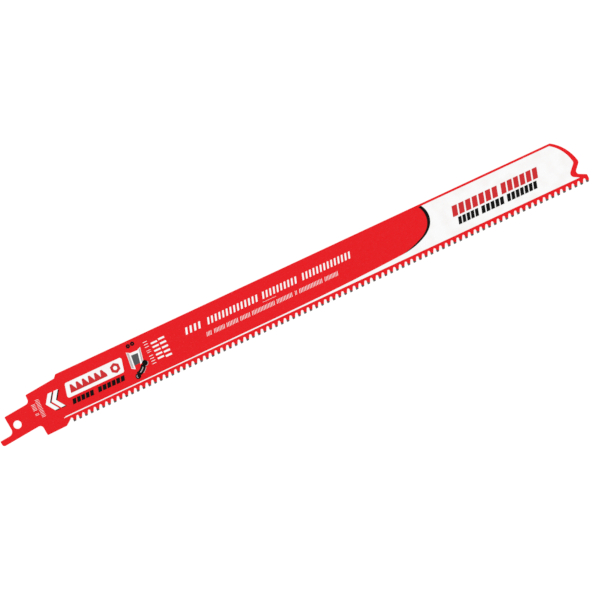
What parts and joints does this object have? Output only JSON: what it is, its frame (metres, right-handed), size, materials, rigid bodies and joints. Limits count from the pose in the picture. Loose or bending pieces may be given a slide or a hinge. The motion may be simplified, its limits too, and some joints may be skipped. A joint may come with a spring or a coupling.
{
  "type": "reciprocating saw blade",
  "caption": "Long flat reciprocating saw blade with carbide-tipped teeth, a canted tang with a locking hole, red enamel and a white panel at the nose.",
  "frame": {"origin": "axis of the tang hole, on the blade's underside", "axes": "+X along the straight back edge towards the nose, the teeth point to -Y, +Z out of the printed face"},
  "size_m": [0.3221, 0.0261, 0.0016],
  "materials": {
    "red_enamel": "semi-gloss red enamel on a steel strip",
    "carbide": "ground tungsten carbide, dark grey",
    "white_ink": "white screen-printed ink",
    "black_ink": "black screen-printed ink"
  },
  "bodies": {
    "root": {"blade_body": "red_enamel", "carbide_tips": "carbide", "white_print": "white_ink", "black_print": "black_ink"}
  },
  "joints": []
}
